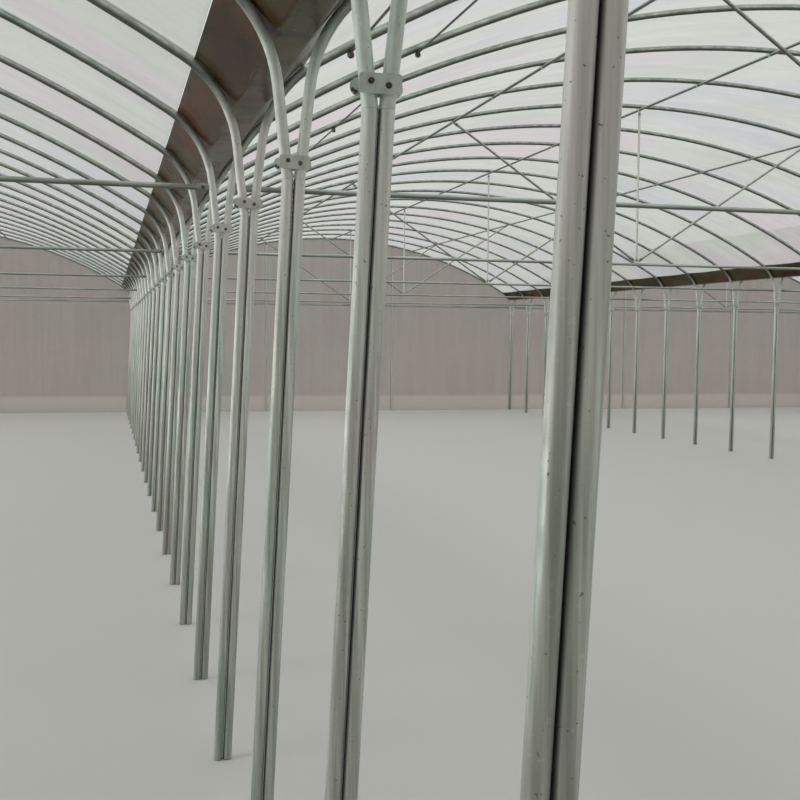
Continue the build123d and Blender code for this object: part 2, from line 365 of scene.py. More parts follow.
def galvanised(name, streak_scale, shades, shade_below=0.0, gap_shade_and_dark_foot=False, paler=None):
    """Zinc with streaks, spots and specks. An underside is darkened with painted shade, as deep as the
    first option says; the legs' option makes them darker towards the ground and adds painted shade
    between two legs; and paler is the two heights between which it turns to a paler zinc."""
    material, tree, output, places = new_finish(name)
    streaks = noise(tree, scaled(tree, places, streak_scale), 1.0, 4.0, 0.6)
    base = colours(tree, streaks, *zip((0.34, 0.5, 0.66), shades))
    height = part_of(tree, places, "Z")
    if paler:
        # Paler between the two heights.
        base = mixed(tree, ranged(tree, height, 0.0, 0.56, *paler), base, PALER_ZINC)
    base = marked(tree, base, places, PALE_SPOT, (90.0, 2.0, 0.7), 0.4, (0.62, 0.74))
    base = marked(tree, base, places, DARK_SPECK, (150.0, 1.0, 0.5), 0.75, (0.725, 0.765))
    cast = colours(tree, noise(tree, places, 2.3, 1.0, 0.4), *PINK_TO_GREEN)
    base = mixed(tree, 0.65, base, cast, "MULTIPLY")
    base = marked(tree, base, places, DULL_PATCH, (1.7, 2.0, 0.5), 0.30, (0.42, 0.66), "MULTIPLY")
    # Painted shade on what faces down, which fades out where the tube turns paler.
    if shade_below:
        facing_up = part_of(tree, node(tree, "NewGeometry", {}).outputs["Normal"], "Z")
        underside_shade = ranged(tree, facing_up, shade_below, 0.0, -0.5, 0.35)
        if paler:
            underside_shade = reckoned(tree, "MULTIPLY", underside_shade, ranged(tree, height, 1.0, 0.0, *paler))
        base = mixed(tree, underside_shade, base, UNDERSIDE_SHADE)
    if gap_shade_and_dark_foot:
        # Darker towards the ground.
        base = mixed(tree, ranged(tree, height, 0.50, 0.0, 0.2, 1.3), base, DARKER_FOOT)
        # Painted shade on the side of a leg that faces its partner.
        facing_partner = node(tree, "Attribute", {}, attribute_name="gap_side").outputs["Fac"]
        base = mixed(tree, ranged(tree, facing_partner, 0.0, 0.92, 0.70, 0.97), base, GAP_SHADE)
    roughness = ranged(tree, noise(tree, places, 30.0, 3.0, 0.6), 0.34, 0.52)
    surfaced(tree, output, base, roughness, bumped(tree, streaks, 0.0006, 0.5), ZINC_SHINE)
    return material


# %% The steel finishes
TUBE_SHADES = ((0.38, 0.42, 0.375), (0.56, 0.60, 0.55), (0.80, 0.83, 0.78))
PLATE_SHADES = ((0.40, 0.43, 0.40), (0.54, 0.57, 0.53), (0.68, 0.71, 0.67))
BOLT_SHADES = ((0.045, 0.043, 0.036), (0.09, 0.085, 0.075), (0.20, 0.20, 0.18))

gable_zinc = galvanised("gable_zinc", (95, 95, 1.6), TUBE_SHADES)
leg_zinc = galvanised("leg_zinc", (95, 95, 1.6), TUBE_SHADES, gap_shade_and_dark_foot=True, paler=(1.35, 1.95))
arch_zinc = galvanised("arch_zinc", (14, 60, 14), TUBE_SHADES, shade_below=0.93, paler=(2.50, 2.25))
lengthways_zinc = galvanised("lengthways_zinc", (60, 3, 60), TUBE_SHADES, shade_below=0.85)
crossways_zinc = galvanised("crossways_zinc", (3, 60, 60), TUBE_SHADES, shade_below=0.85)
plate_zinc = galvanised("plate_zinc", (30, 30, 30), PLATE_SHADES, paler=(1.75, 2.30))
bolt_steel = galvanised("bolt_steel", (60, 60, 60), BOLT_SHADES)
print("seven steel finishes made")

# %% [markdown]
# ## Legs
#
# A leg is a straight tube, driven into the ground and cut level where the arch joins it. We could
# keep the six-sided solid, but a round tube shows a soft highlight that moves round it, and that is
# what makes it read as steel. One leg is a ring pushed up to the splice. Some lines of legs lean a
# little, so the push goes sideways as much as the solid's box says. The narrow gap between the two
# legs of a pair gets painted shade, so each vertex notes how far it is turned towards its partner,
# and the finish reads that. Then the leg is repeated every metre.

# %% Edit mode
def edit(piece, mode="VERT"):
    """Go into edit mode with all of the piece selected."""
    pick(piece)
    bpy.ops.object.mode_set(mode="EDIT")
    bpy.ops.mesh.select_mode(type=mode)
    bpy.ops.mesh.select_all(action="SELECT")


def leave():
    """Come back from edit mode."""
    bpy.ops.object.mode_set(mode="OBJECT")


def select_where(piece, chosen, kind="VERT"):
    """In edit mode, select the vertices, edges or faces whose middle passes the test."""
    bpy.ops.mesh.select_mode(type=kind)
    bpy.ops.mesh.select_all(action="DESELECT")
    mesh = bmesh.from_edit_mesh(piece.data)
    if kind == "VERT":
        for vertex in mesh.verts:
            vertex.select_set(chosen(vertex.co))
    else:
        for item in mesh.faces if kind == "FACE" else mesh.edges:
            middle = sum((v.co for v in item.verts), Vector()) / len(item.verts)
            if chosen(middle):
                item.select_set(True)
    mesh.select_flush_mode()
    bmesh.update_edit_mesh(piece.data)


# %% Tubes
def ring(centre, direction, radius, sides):
    """A circle of vertices, square to a direction: the start of every tube."""
    turn = Vector(direction).to_track_quat("Z", "Y").to_euler()
    return primitive(bpy.ops.mesh.primitive_circle_add, vertices=sides, radius=radius,
                     fill_type="NOTHING", location=centre, rotation=turn)


def push(x=0.0, y=0.0, z=0.0):
    """Extrude what is selected."""
    bpy.ops.mesh.extrude_region_move(TRANSFORM_OT_translate={"value": (x, y, z)})


def tidy_skin():
    """Weld doubles and make the faces look outwards."""
    bpy.ops.mesh.select_all(action="SELECT")
    bpy.ops.mesh.remove_doubles(threshold=0.00002)
    bpy.ops.mesh.normals_make_consistent(inside=False)


def close_ends():
    """Fill the open ends of a tube."""
    bpy.ops.mesh.select_all(action="SELECT")
    bpy.ops.mesh.fill_holes(sides=64)
    tidy_skin()


# %% Repeat and finish
def use(piece, kind, **values):
    """Add a modifier, set it and apply it, as one would in the modifier tab."""
    pick(piece)
    modifier = piece.modifiers.new(kind.lower(), kind)
    for name, value in values.items():
        setattr(modifier, name, value)
    bpy.ops.object.modifier_apply(modifier=modifier.name)


def repeat(piece, count, pitch=ARCH_PITCH):
    """The same piece again and again along the building, as one mesh."""
    use(piece, "ARRAY", count=count, use_relative_offset=False, use_constant_offset=True,
        constant_offset_displace=(0, pitch, 0))


def smooth(piece, degrees=40):
    """Shade smooth, except at edges that turn by more than this."""
    pick(piece)
    bpy.ops.object.shade_smooth_by_angle(angle=math.radians(degrees))


def finish(piece, name, material, slot, *nodes):
    """Name a finished piece, give it its material and put it on the frame in place of its solids."""
    piece.name = name
    piece.data.name = name
    piece.data.materials.clear()
    piece.data.materials.append(material)
    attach(piece, "root")
    if nodes:
        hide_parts(*nodes)
    piece.data.calc_loop_triangles()
    print(name, len(piece.data.loop_triangles), "triangles")
    return piece


# %% Legs
LEG_SIDES = 28
SAW_CUT = 0.0012
SAME_PLACE = 0.0001


def soften_cut(tube):
    """In edit mode, break the sharp edge of the level saw cut, so that the splice shows as a line."""
    select_where(tube, lambda m: abs(m.z - splice_height) < SAME_PLACE, "EDGE")
    bpy.ops.mesh.bevel(offset=SAW_CUT, segments=1, affect="EDGES")


for span in SPANS:
    for side, sign in SIDES:
        low, high = leg_boxes[span, side]
        top_x = span_x[span] + sign * leg_distance
        foot_x = low.x + high.x - top_x
        leg = ring((foot_x, first_row, low.z), (0, 0, 1), TUBE_RADIUS, LEG_SIDES)
        edit(leg)
        push(x=top_x - foot_x, z=high.z - low.z)
        close_ends()
        soften_cut(leg)
        leave()
        turned = leg.data.attributes.new("gap_side", "FLOAT", "POINT")
        for vertex in leg.data.vertices:
            middle_x = foot_x + (top_x - foot_x) * (vertex.co.z - low.z) / (high.z - low.z)
            turned.data[vertex.index].value = max(0.0, sign * (vertex.co.x - middle_x) / TUBE_RADIUS)
        smooth(leg)
        repeat(leg, arch_count)
        finish(leg, f"{span}_span_{side}_round_legs", leg_zinc, "tube", f"{span}_span_{side}_legs")

# %% [markdown]
# ## Arches
#
# The arch is one tube bent on a rolling machine: a splayed foot, a tight shoulder, the long roof
# curve and the same again. Spin does just that. It turns the last ring about a centre and leaves a
# tube behind it, so each bend is one call with its own centre and its own number of steps. The feet
# start a little low and are cut level at the splice, as a saw would do it. All three spans are alike,
# so a finished row of arches is copied into each.

# %% The same row in each span
def move(piece, x, y=0.0):
    """Shift a piece, and put the shift into its mesh."""
    pick(piece)
    bpy.ops.transform.translate(value=(x, y, 0))
    return settle()


def copy_of(piece):
    """A copy with its own mesh."""
    pick(piece)
    bpy.ops.object.duplicate(linked=False)
    return bpy.context.object


def in_each_span(row, word, material, slot, solid=""):
    """Finish a copy of a row in each span, in place of that span's solid, and take the row away."""
    copies = []
    for span in SPANS:
        nodes = [f"{span}_span_{solid}"] if solid else []
        piece = move(copy_of(row), x=span_x[span])
        copies.append(finish(piece, f"{span}_span_{word}", material, slot, *nodes))
    bpy.data.objects.remove(row)
    return copies


# %% Arches
ARCH_SIDES = 16
SHOULDER_STEPS = 10
ROOF_STEPS = 44
FOOT_SPARE = 0.03


def spin(angle, x, z, steps):
    """Turn what is selected about an axis along the building, and leave a skin behind it."""
    bpy.ops.mesh.spin(steps=steps, angle=angle, center=(x, 0, z), axis=(0, 1, 0))


foot_low = Vector((leg_distance + FOOT_SPARE * math.tan(SPLAY), first_row, splice_height - FOOT_SPARE))
foot_top = Vector((leg_distance - (BEND_START - splice_height) * math.tan(SPLAY), first_row, BEND_START))
foot = foot_top - foot_low
arch = ring(foot_low, foot.normalized(), TUBE_RADIUS, ARCH_SIDES)
edit(arch)
push(*foot)
spin(shoulder_turn, bend_x, bend_z, SHOULDER_STEPS)
spin(2 * roof_slope, 0, roof_z, ROOF_STEPS)
spin(shoulder_turn, -bend_x, bend_z, SHOULDER_STEPS)
push(foot.x, 0, -foot.z)
tidy_skin()
bpy.ops.mesh.bisect(plane_co=(0, 0, splice_height), plane_no=(0, 0, 1), clear_inner=True, use_fill=False)
close_ends()
soften_cut(arch)
leave()
smooth(arch)
repeat(arch, arch_count)
in_each_span(arch, "round_arches", arch_zinc, "tube", "arches")

# %% [markdown]
# ## Ties, king posts, struts and purlins
#
# Every fourth arch is tied: a level tube holds its feet together, a thin post stands on the middle of
# the tie, and two struts run from there up to the side purlins. The ends of such tubes are pressed
# flat in a vice, so that a bolt can go through. We make a tube of five pushes, two short ones at each
# end, and squeeze the end rings flat. Purlins are plain long tubes under all the arches.

# %% A tube with pressed ends
PRESS_LENGTH = 0.045
PRESS_FLAT = 0.35
PRESS_WIDE = 1.3


def pressed_tube(start, end, radius, sides):
    """A round tube between two points whose ends are pressed flat, with their faces to the front."""
    start, end = Vector(start), Vector(end)
    length = (end - start).length
    run = (end - start).normalized()
    tube = ring(start, run, radius, sides)
    edit(tube)
    for reach in (PRESS_LENGTH, PRESS_LENGTH / 2, length - 3 * PRESS_LENGTH, PRESS_LENGTH / 2, PRESS_LENGTH):
        push(*(run * reach))
    close_ends()
    across = Vector((0, 1, 0))
    upright = run.cross(across)
    mesh = bmesh.from_edit_mesh(tube.data)
    for vertex in mesh.verts:
        along = (vertex.co - start).dot(run)
        if min(along, length - along) < PRESS_LENGTH + SAME_PLACE:
            middle = start + run * along
            out = vertex.co - middle
            pressed = across * out.dot(across) * PRESS_FLAT + upright * out.dot(upright) * PRESS_WIDE
            vertex.co = middle + pressed
    bmesh.update_edit_mesh(tube.data)
    leave()
    smooth(tube, 50)
    return tube


# %% Places in the roof
ARCHES_PER_BAY = 4
TIE_HEIGHT = 2.21
TIE_RADIUS = 0.0125
POST_RADIUS = 0.010
SIDE_PURLIN = 1.7
PURLIN_RADIUS = 0.011
STRUT_RISE = 0.005
STRUT_SETBACK = 0.024


def on_roof(distance, above):
    """A point at this distance from the span's centre line, above the roof arc's tube centre."""
    angle = math.asin(distance / roof_radius)
    reach = roof_radius + above
    return Vector((reach * math.sin(angle), 0, roof_z + reach * math.cos(angle)))


bay = ARCH_PITCH * ARCHES_PER_BAY
first_tied = Vector((0, first_row + bay / 2, 0))
tied_count = (arch_count - 1) // ARCHES_PER_BAY
under_arch = -(TUBE_RADIUS + SEAT + PURLIN_RADIUS)
side_purlin = on_roof(SIDE_PURLIN, under_arch)
strut_root = Vector((0, 0, TIE_HEIGHT + TIE_RADIUS + STRUT_RISE))
strut_run = (side_purlin - strut_root).normalized()
strut_start = strut_root + strut_run * STRUT_SETBACK
strut_end = side_purlin - strut_run * (PURLIN_RADIUS + SEAT)
print(tied_count, "tied arches a span, with struts of", round((strut_end - strut_start).length, 3), "m")

# %% Ties and their posts
TIE_SIDES = 16
POST_SIDES = 12


def joined(pieces):
    """Several pieces made one."""
    pick(pieces[0])
    for piece in pieces:
        piece.select_set(True)
    bpy.ops.object.join()
    return bpy.context.object


tie_low, tie_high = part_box("middle_span_ties")
post_low, post_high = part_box("middle_span_king_posts")
tie_ends = [Vector((x, 0, TIE_HEIGHT)) + first_tied for x in (tie_low.x, tie_high.x)]
post_ends = [Vector((0, 0, z)) + first_tied for z in (post_low.z, post_high.z)]
tie = pressed_tube(*tie_ends, TIE_RADIUS, TIE_SIDES)
king_post = pressed_tube(*post_ends, POST_RADIUS, POST_SIDES)
struts = []
for sign in (1, -1):
    ends = [Vector((sign * place.x, 0, place.z)) + first_tied for place in (strut_start, strut_end)]
    struts.append(pressed_tube(*ends, POST_RADIUS, POST_SIDES))
strut_pair = joined(struts)
for piece, word, zinc in (
    (tie, "ties", crossways_zinc), (king_post, "king_posts", leg_zinc), (strut_pair, "struts", crossways_zinc)
):
    repeat(piece, tied_count, bay)
    in_each_span(piece, f"round_{word}", zinc, "tube", word)

# %% Purlins
PURLIN_SIDES = 14

purlin_low, purlin_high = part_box("middle_span_purlins")
tubes = []
for place in (Vector((-side_purlin.x, 0, side_purlin.z)), on_roof(0, under_arch), side_purlin):
    tube = ring((place.x, purlin_low.y, place.z), (0, 1, 0), PURLIN_RADIUS, PURLIN_SIDES)
    edit(tube)
    push(y=purlin_high.y - purlin_low.y)
    close_ends()
    leave()
    smooth(tube)
    tubes.append(tube)
in_each_span(joined(tubes), "round_purlins", lengthways_zinc, "tube", "purlins")

# %% [markdown]
# ## Clamps
#
# Two plates squeeze the two arch feet of a valley between them, just above the splice. The front
# plate has a bolt on each foot, and its lower edge is turned out. The plate behind it is longer and
# its ends are round. A plate could be drawn as an outline and filled, but a cube at its real size
# whose four corners are rounded with one bevel takes fewer steps. A bolt is a washer and a six-sided
# head, and each starts as a circle and is pushed out. Bolts have gone dark while the plates stayed
# pale, so they are pieces of their own.

# %% A plate
def plate(size, place, rounding):
    """A cube at its real size. The four edges that run from front to back are rounded."""
    piece = primitive(bpy.ops.mesh.primitive_cube_add, size=1, location=place, scale=size)
    edit(piece)
    select_where(piece, lambda m: abs(abs(m.x - place[0]) - size[0] / 2) < SAME_PLACE
                 and abs(abs(m.z - place[2]) - size[2] / 2) < SAME_PLACE, "EDGE")
    bpy.ops.mesh.bevel(offset=rounding, segments=5, affect="EDGES")
    bpy.ops.mesh.select_all(action="SELECT")
    bpy.ops.mesh.normals_make_consistent(inside=False)
    leave()
    return piece


# %% A bolt
WASHER_SHEET = 0.0012
WASHER_SIDES = 12
WASHER_SHARE = 0.78
CORNER_SHARE = 0.577
HEIGHT_SHARE = 0.55
CHAMFER_SHARE = 0.07


def bolt(place, direction, across):
    """A washer, and a six-sided head with a small chamfer. Shares are of the width across its flats."""
    place, direction = Vector(place), Vector(direction)
    washer = ring(place, direction, across * WASHER_SHARE, WASHER_SIDES)
    edit(washer)
    push(*(direction * WASHER_SHEET))
    close_ends()
    leave()
    head = ring(place + direction * WASHER_SHEET, direction, across * CORNER_SHARE, 6)
    edit(head)
    push(*(direction * across * HEIGHT_SHARE))
    close_ends()
    top = WASHER_SHEET + across * HEIGHT_SHARE
    select_where(head, lambda m: (m - place).dot(direction) > top - SAME_PLACE / 2, "EDGE")
    bpy.ops.mesh.bevel(offset=across * CHAMFER_SHARE, segments=1, affect="EDGES")
    leave()
    return joined([washer, head])


# %% Clamps of both valleys
CLAMP_HEIGHT = 2.030
PLATE, PLATE_CORNER = Vector((0.083, 0.003, 0.038)), 0.006
FLANGE, FLANGE_CORNER = Vector((0.080, 0.005, 0.0025)), 0.001
BACK_PLATE, BACK_CORNER = Vector((0.104, 0.003, 0.036)), 0.0175
BACK_DROP = 0.001
HEAD_WIDTH = 0.008
EAR_HEAD_WIDTH = 0.005
EAR_SPOTS = ((-0.0470, -0.007), (-0.0405, -0.011))
TO_FRONT, TO_BACK = (0, -1, 0), (0, 1, 0)

pair_reach = LEG_GAP / 2 + TUBE_RADIUS + (CLAMP_HEIGHT - splice_height) * math.tan(SPLAY)
# The two heads sit a few millimetres inside their tubes' middle lines, and not at one height.
head_spots = ((-pair_reach + 0.003, 0.004), (pair_reach - 0.006, -0.003))
face = TUBE_RADIUS + SEAT
front_y = first_row + ARCH_PITCH - face - PLATE.y
back_y = first_row + face + BACK_PLATE.y
flange_z = CLAMP_HEIGHT - PLATE.z / 2 + FLANGE.z / 2
print("bolts of a clamp at", [round(x, 4) for x, rise in head_spots], "m from the middle of the valley")

for valley in VALLEYS:
    low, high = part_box(f"{valley}_valley_clamps")
    x = (low.x + high.x) / 2
    clamps = joined([
        plate(PLATE, (x, front_y + PLATE.y / 2, CLAMP_HEIGHT), PLATE_CORNER),
        plate(FLANGE, (x, front_y - FLANGE.y / 2, flange_z), FLANGE_CORNER),
        plate(BACK_PLATE, (x, back_y - BACK_PLATE.y / 2, CLAMP_HEIGHT - BACK_DROP), BACK_CORNER),
    ])
    bolts = [bolt((x + out, front_y, CLAMP_HEIGHT + rise), TO_FRONT, HEAD_WIDTH) for out, rise in head_spots]
    bolts += [bolt((x + out, back_y, CLAMP_HEIGHT), TO_BACK, HEAD_WIDTH) for out, rise in head_spots]
    for out, rise in EAR_SPOTS:
        ear = (x + out, back_y - BACK_PLATE.y, CLAMP_HEIGHT + rise)
        bolts.append(bolt(ear, TO_FRONT, EAR_HEAD_WIDTH))
    bolts = joined(bolts)
    for piece in (clamps, bolts):
        repeat(piece, arch_count - 1)
        smooth(piece, 30)
    finish(clamps, f"{valley}_valley_bolted_clamps", plate_zinc, "clamp", f"{valley}_valley_clamps")
    finish(bolts, f"{valley}_valley_clamp_bolts", bolt_steel, "clamp")

# %% [markdown]
# ## Gutters
#
# The gutter is one long sheet, folded in a brake: a flat floor, two walls that lie on the shoulders of
# the arches, and two lips on the roof. It could be cut from a block, but a folded sheet has one
# thickness everywhere, so we fold it as the brake does. A single edge as long as the building is
# pushed from fold to fold, which gives five flat strips. A bevel then rounds the folds, tight at the
# floor and wide over the shoulder, and Solidify gives the sheet its thickness. The gutter has stood
# in the rain: its underside is brown and a little shiny, with rust and pale marks, and it has a line
# of painted shade at each arch.

# %% Gutter finish
GUTTER_STAINS = (
    (0.34, (0.036, 0.018, 0.006)),
    (0.46, (0.060, 0.035, 0.011)),
    (0.55, (0.048, 0.050, 0.013)),
    (0.68, (0.070, 0.058, 0.034)),
)
RUST = (0.115, 0.030, 0.018)
PALE_MARK = (0.24, 0.21, 0.16)
ARCH_SHADE_LINE = (0.30, 0.28, 0.26)


def near_rows(tree, places, axis, pitch, first, full, none):
    """A mask that is 1 along even rows, up to the distance full, and fades to 0 at the distance none."""
    moved = reckoned(tree, "SUBTRACT", part_of(tree, places, axis), first)
    return ranged(tree, reckoned(tree, "PINGPONG", moved, pitch / 2), 1.0, 0.0, full, none)


def weathered_gutter():
    """Brown stains that run along the gutter, and a line of painted shade at each arch."""
    material, tree, output, places = new_finish("weathered_gutter")
    stains = noise(tree, scaled(tree, places, (5, 1.3, 5)), 1.0, 3.0, 0.5)
    base = colours(tree, stains, *GUTTER_STAINS)
    base = marked(tree, base, scaled(tree, places, (3, 1.1, 3)), RUST, (1.0, 2.0, 0.5), 0.75, (0.56, 0.68))
    base = marked(tree, base, places, PALE_MARK, (34.0, 3.0, 0.65), 0.25, (0.70, 0.80))
    # A line of painted shade where the gutter lies over each arch.
    base = mixed(tree, near_rows(tree, places, "Y", ARCH_PITCH, 0.0, 0.018, 0.045), base, ARCH_SHADE_LINE, "MULTIPLY")
    roughness = ranged(tree, noise(tree, places, 12.0, 3.0, 0.5), 0.14, 0.28)
    normal = bumped(tree, noise(tree, places, 5.0, 2.0, 0.5), 0.003, 0.4)
    shader = surfaced(tree, output, base, roughness, normal, 0.0)
    shader.inputs["Specular IOR Level"].default_value = 0.05
    return material


gutter_brown = weathered_gutter()
print("gutter finish made")

# %% Folds of the gutter
GUTTER_HALF_FLOOR = 0.050
SHOULDER_FACE = math.radians(39.3)
LIP_REACH = 0.028


def shoulder_crossing(offset):
    """Where the two flat faces over the shoulder meet, this far outside the tube's middle line."""
    roof_face = math.radians(90) - roof_slope
    middle = (SHOULDER_FACE + roof_face) / 2
    reach = (BEND_RADIUS + offset) / math.cos((roof_face - SHOULDER_FACE) / 2)
    return Vector((bend_x + reach * math.cos(middle), bend_z + reach * math.sin(middle)))


eave = shoulder_crossing(0)
eave_turn = math.atan2(eave.x, eave.y - roof_z)
haunch_turn = (eave_turn + math.asin(SIDE_PURLIN / roof_radius)) / 2
haunch = Vector((roof_radius * math.sin(haunch_turn), roof_z + roof_radius * math.cos(haunch_turn)))
eave_run = (haunch - eave).normalized()


def on_eave(along, above):
    """A point over the lowest stretch of roof, this far up from the eave and above the tube."""
    lift = TUBE_RADIUS + above
    x = eave.x + along * eave_run.x + lift * eave_run.y
    return Vector((x, eave.y + along * eave_run.y - lift * eave_run.x))


shoulder_fold = shoulder_crossing(TUBE_RADIUS + SEAT)
floor_x = span_width / 2 - GUTTER_HALF_FLOOR
floor_fold = Vector((floor_x, shoulder_fold.y - (floor_x - shoulder_fold.x) / math.tan(SHOULDER_FACE)))
lip_end = on_eave(LIP_REACH, SEAT)
half_outline = [(span_width / 2 - fold.x, fold.y) for fold in (floor_fold, shoulder_fold, lip_end)]
outline = [(-out, z) for out, z in reversed(half_outline)] + half_outline
print("gutter folds at", [(round(out, 3), round(z, 3)) for out, z in half_outline])

# %% Gutters
GUTTER_SHEET = 0.002
FOLD_ROUNDINGS = ((floor_fold.y, 0.009, 4), (shoulder_fold.y, 0.055, 8))


def long_edge(y_start, y_end, x, z):
    """One edge along the building: the start of a sheet that is pushed or spun into shape."""
    middle = (x, (y_start + y_end) / 2, z)
    piece = added(bpy.ops.mesh.primitive_plane_add, size=1, location=middle)
    piece.scale = (1, y_end - y_start, 1)
    settle()
    edit(piece)
    select_where(piece, lambda m: m.x > x)
    bpy.ops.mesh.delete(type="VERT")
    bpy.ops.mesh.select_all(action="SELECT")
    bpy.ops.transform.translate(value=(0.5, 0, 0))
    return piece


for valley in VALLEYS:
    low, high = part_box(f"{valley}_valley_gutter")
    sheet = long_edge(low.y, high.y, valley_x[valley] + outline[0][0], outline[0][1])
    for (x0, z0), (x1, z1) in zip(outline, outline[1:]):
        push(x=x1 - x0, z=z1 - z0)
    for fold_z, rounding, steps in FOLD_ROUNDINGS:
        select_where(sheet, lambda m: abs(m.z - fold_z) < SAME_PLACE and abs(m.y) < 0.1, "EDGE")
        bpy.ops.mesh.bevel(offset=rounding, segments=steps, affect="EDGES")
    bpy.ops.mesh.select_all(action="SELECT")
    bpy.ops.mesh.normals_make_consistent(inside=False)
    leave()
    facing_up = max(sheet.data.polygons, key=lambda f: f.area).normal.z > 0
    use(sheet, "SOLIDIFY", thickness=GUTTER_SHEET, offset=1 if facing_up else -1)
    smooth(sheet, 35)
    finish(sheet, f"{valley}_valley_folded_gutter", gutter_brown, "gutter", f"{valley}_valley_gutter")

# %% [markdown]
# ## Small fittings
#
# Where a purlin crosses an arch, a strap goes round the purlin and is screwed to the underside of the
# arch. It could be a strip that a curve bends, but it has one round place only, so one short edge is
# pushed flat, turned half round the purlin and pushed flat again. The pressed ends of ties, king
# posts and struts each have one bolt, with its nut behind.

# %% Purlin straps
STRAP_WIDTH = 0.020
STRAP_SHEET = 0.0012
STRAP_REACH = 0.028
STRAP_TURNS = 6


def purlin_strap(distance):
    """A strap under one arch at this distance from the middle of the span."""
    turn = math.asin(distance / roof_radius)
    along = Vector((math.cos(turn), 0, -math.sin(turn)))
    up = Vector((math.sin(turn), 0, math.cos(turn)))
    centre = on_roof(distance, under_arch)
    under = on_roof(distance, -(TUBE_RADIUS + STRAP_SHEET))
    start = under - along * STRAP_REACH
    strap = long_edge(first_row - STRAP_WIDTH / 2, first_row + STRAP_WIDTH / 2, start.x, start.z)
    flat_run = along * (STRAP_REACH - PURLIN_RADIUS - STRAP_SHEET)
    drop = up * (centre - under).dot(up)
    push(*flat_run)
    push(*drop)
    spin(math.pi, centre.x, centre.z, STRAP_TURNS)
    push(*-drop)
    push(*flat_run)
    tidy_skin()
    leave()
    use(strap, "SOLIDIFY", thickness=STRAP_SHEET, offset=0)
    return strap


straps = joined([purlin_strap(distance) for distance in (-SIDE_PURLIN, 0.0, SIDE_PURLIN)])
repeat(straps, arch_count)
smooth(straps, 35)
in_each_span(straps, "purlin_straps", plate_zinc, "clamp")

# %% Bolts of the tied arches
END_MARGIN = 0.024
PRESSED_HALF = 0.0045
TRUSS_HEAD = 0.010

strut_margin = strut_run * END_MARGIN
places = [
    Vector((tie_low.x + END_MARGIN, 0, TIE_HEIGHT)),
    Vector((tie_high.x - END_MARGIN, 0, TIE_HEIGHT)),
    Vector((0, 0, post_low.z + END_MARGIN)),
    Vector((0, 0, post_high.z - END_MARGIN)),
]
for sign in (-1, 1):
    for place in (strut_start + strut_margin, strut_end - strut_margin):
        places.append(Vector((sign * place.x, 0, place.z)))
truss_bolts = []
for place in places:
    for direction in (TO_FRONT, TO_BACK):
        end_face = place + first_tied + Vector(direction) * PRESSED_HALF
        truss_bolts.append(bolt(end_face, direction, TRUSS_HEAD))
truss_bolts = joined(truss_bolts)
repeat(truss_bolts, tied_count, bay)
smooth(truss_bolts, 30)
in_each_span(truss_bolts, "truss_bolts", bolt_steel, "clamp")

# %% [markdown]
# ## Eave braces
#
# A few thin rods lie along the left flank of the middle span, each from one arch to the next, with a
# round knob where it is hooked on. They keep the arches from leaning. A knob could be turned from a
# profile, but it is small and high up, so a coarse ball that is a little flattened does as well.

# %% Eave braces
BRACE_RADIUS = 0.005
BRACE_SIDES = 8
BRACE_SPARE = 0.02
KNOB_RADIUS = 0.014
BRACES = ((3.11, -6.0), (3.11, -4.0), (3.11, -3.0), (3.64, -7.0))


def brace(distance, knob_y):
    """A rod under two arches, this far left of the span's middle, with its knob on the farther one."""
    at = on_roof(distance, -(TUBE_RADIUS + BRACE_RADIUS))
    length = ARCH_PITCH + BRACE_SPARE
    rod = ring((-at.x, knob_y - length, at.z), (0, 1, 0), BRACE_RADIUS, BRACE_SIDES)
    edit(rod)
    push(y=length)
    close_ends()
    leave()
    knob = primitive(bpy.ops.mesh.primitive_uv_sphere_add, segments=12, ring_count=8, radius=KNOB_RADIUS,
                     location=(-at.x, knob_y, at.z - KNOB_RADIUS * 0.6))
    edit(knob)
    bpy.ops.transform.resize(value=(1, 0.8, 1), center_override=(-at.x, knob_y, at.z))
    leave()
    return joined([rod, knob])


braces = joined([brace(distance, knob_y) for distance, knob_y in BRACES])
smooth(braces, 40)
finish(braces, "middle_span_eave_braces", bolt_steel, "clamp")

# %% [markdown]
# ## Film
#
# The film is thin, white and cloudy. On the walls it is painted darker and greyer, as painted shade.
# It could be a clear glass with a rough surface, but such glass stays dark in its own shade. Real
# film scatters light on both sides, and a little goes straight through, so from outside the arches
# show as faint bars. So we mix three shaders: a plain surface for its sheen, a translucent one for
# the light behind it, and a share of transparency. Long streaks run over it, it has a painted shadow
# where it touches a tube, and a painted highlight close by, where it is drawn tight.

# %% Cloudy film
DUST = (0.58, 0.55, 0.50)
FILM_SHEEN = 0.28


def toned(colour, gain):
    """The same colour, lighter or darker."""
    return tuple(min(1.0, part * gain) for part in colour)


